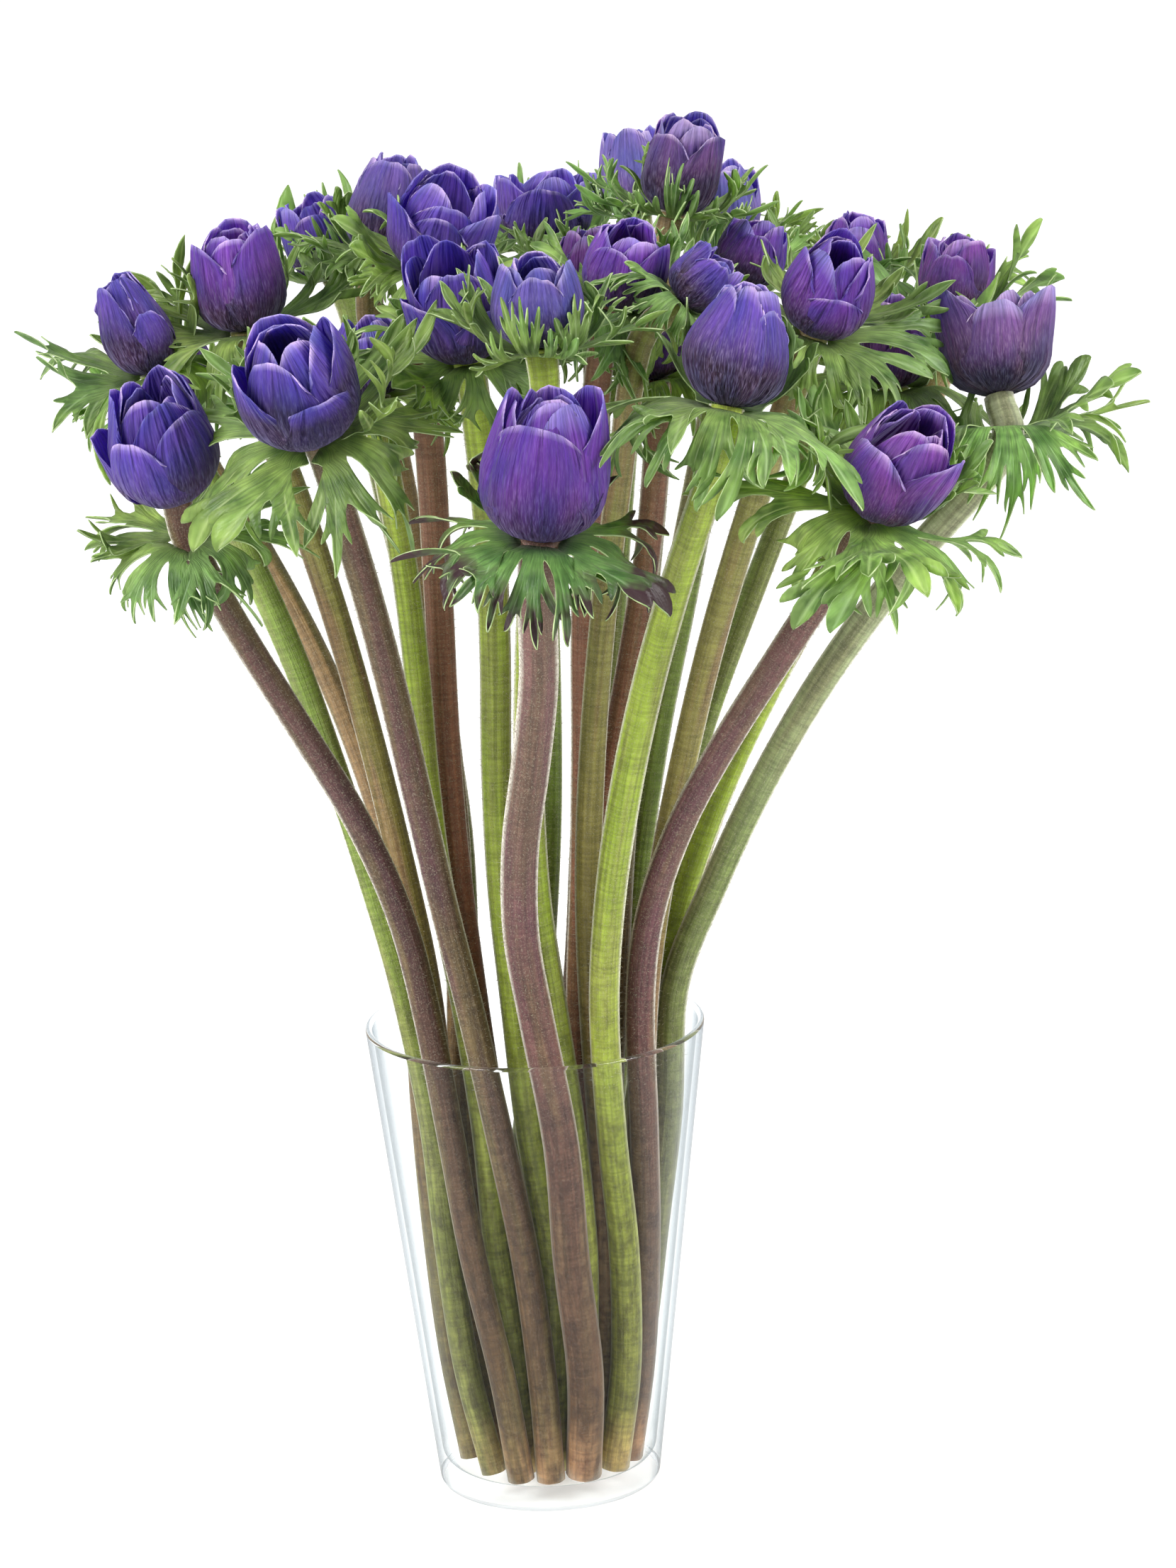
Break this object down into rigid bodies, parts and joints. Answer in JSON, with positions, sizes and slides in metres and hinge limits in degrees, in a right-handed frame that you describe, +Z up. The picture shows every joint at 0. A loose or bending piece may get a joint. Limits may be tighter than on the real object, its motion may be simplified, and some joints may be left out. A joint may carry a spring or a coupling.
{
  "type": "bunch of cut anemones in a glass vase",
  "caption": "Violet-blue cut anemones with finely cut leaf ruffs on curved fleshy stems, standing in a clear tapered glass vase.",
  "frame": {"origin": "centre of the underside of the vase", "axes": "+Z up along the vase's axis, -Y towards the viewer of the picture, +X to the viewer's right"},
  "size_m": [0.3982, 0.3375, 0.4972],
  "materials": {
    "vase_glass": "clear, smooth, fire-polished rim",
    "petals_blue": "matt petal with fine lengthwise streaks",
    "petals_violet": "matt petal with fine lengthwise streaks",
    "petals_purple": "matt petal with fine lengthwise streaks",
    "petals_lilac": "matt petal with fine lengthwise streaks",
    "leafy_stem_green": "fresh green tissue with fine hairs",
    "leafy_stem_lime": "fresh green tissue with fine hairs",
    "leafy_stem_olive": "fresh green tissue with fine hairs",
    "leafy_stem_brown": "fresh green tissue with fine hairs",
    "leafy_stem_maroon": "fresh green tissue with fine hairs"
  },
  "bodies": {
    "root": {"vase": "vase_glass", "leafy_stem_01": "leafy_stem_green", "bloom_01": "petals_blue", "leafy_stem_02": "leafy_stem_olive", "bloom_02": "petals_violet", "leafy_stem_03": "leafy_stem_green", "bloom_03": "petals_blue", "leafy_stem_04": "leafy_stem_brown", "bloom_04": "petals_purple", "leafy_stem_05": "leafy_stem_green", "bloom_05": "petals_blue", "leafy_stem_06": "leafy_stem_lime", "bloom_06": "petals_blue", "leafy_stem_07": "leafy_stem_lime", "bloom_07": "petals_violet", "leafy_stem_08": "leafy_stem_maroon", "bloom_08": "petals_blue", "leafy_stem_09": "leafy_stem_maroon", "bloom_09": "petals_blue", "leafy_stem_10": "leafy_stem_lime", "bloom_10": "petals_blue", "leafy_stem_11": "leafy_stem_brown", "bloom_11": "petals_violet", "leafy_stem_12": "leafy_stem_green", "bloom_12": "petals_blue", "leafy_stem_13": "leafy_stem_maroon", "bloom_13": "petals_purple", "leafy_stem_14": "leafy_stem_brown", "bloom_14": "petals_violet", "leafy_stem_15": "leafy_stem_green", "bloom_15": "petals_lilac", "leafy_stem_16": "leafy_stem_olive", "bloom_16": "petals_lilac", "leafy_stem_17": "leafy_stem_brown", "bloom_17": "petals_violet", "leafy_stem_18": "leafy_stem_maroon", "bloom_18": "petals_purple", "leafy_stem_19": "leafy_stem_olive", "bloom_19": "petals_blue", "leafy_stem_20": "leafy_stem_green", "bloom_20": "petals_violet", "leafy_stem_21": "leafy_stem_lime", "bloom_21": "petals_blue", "leafy_stem_22": "leafy_stem_olive", "bloom_22": "petals_violet", "leafy_stem_23": "leafy_stem_green", "bloom_23": "petals_violet", "leafy_stem_24": "leafy_stem_lime", "bloom_24": "petals_purple", "leafy_stem_25": "leafy_stem_olive", "bloom_25": "petals_purple", "leafy_stem_26": "leafy_stem_green", "bloom_26": "petals_purple", "leafy_stem_27": "leafy_stem_maroon", "bloom_27": "petals_purple", "leafy_stem_28": "leafy_stem_brown", "bloom_28": "petals_purple"}
  },
  "joints": []
}
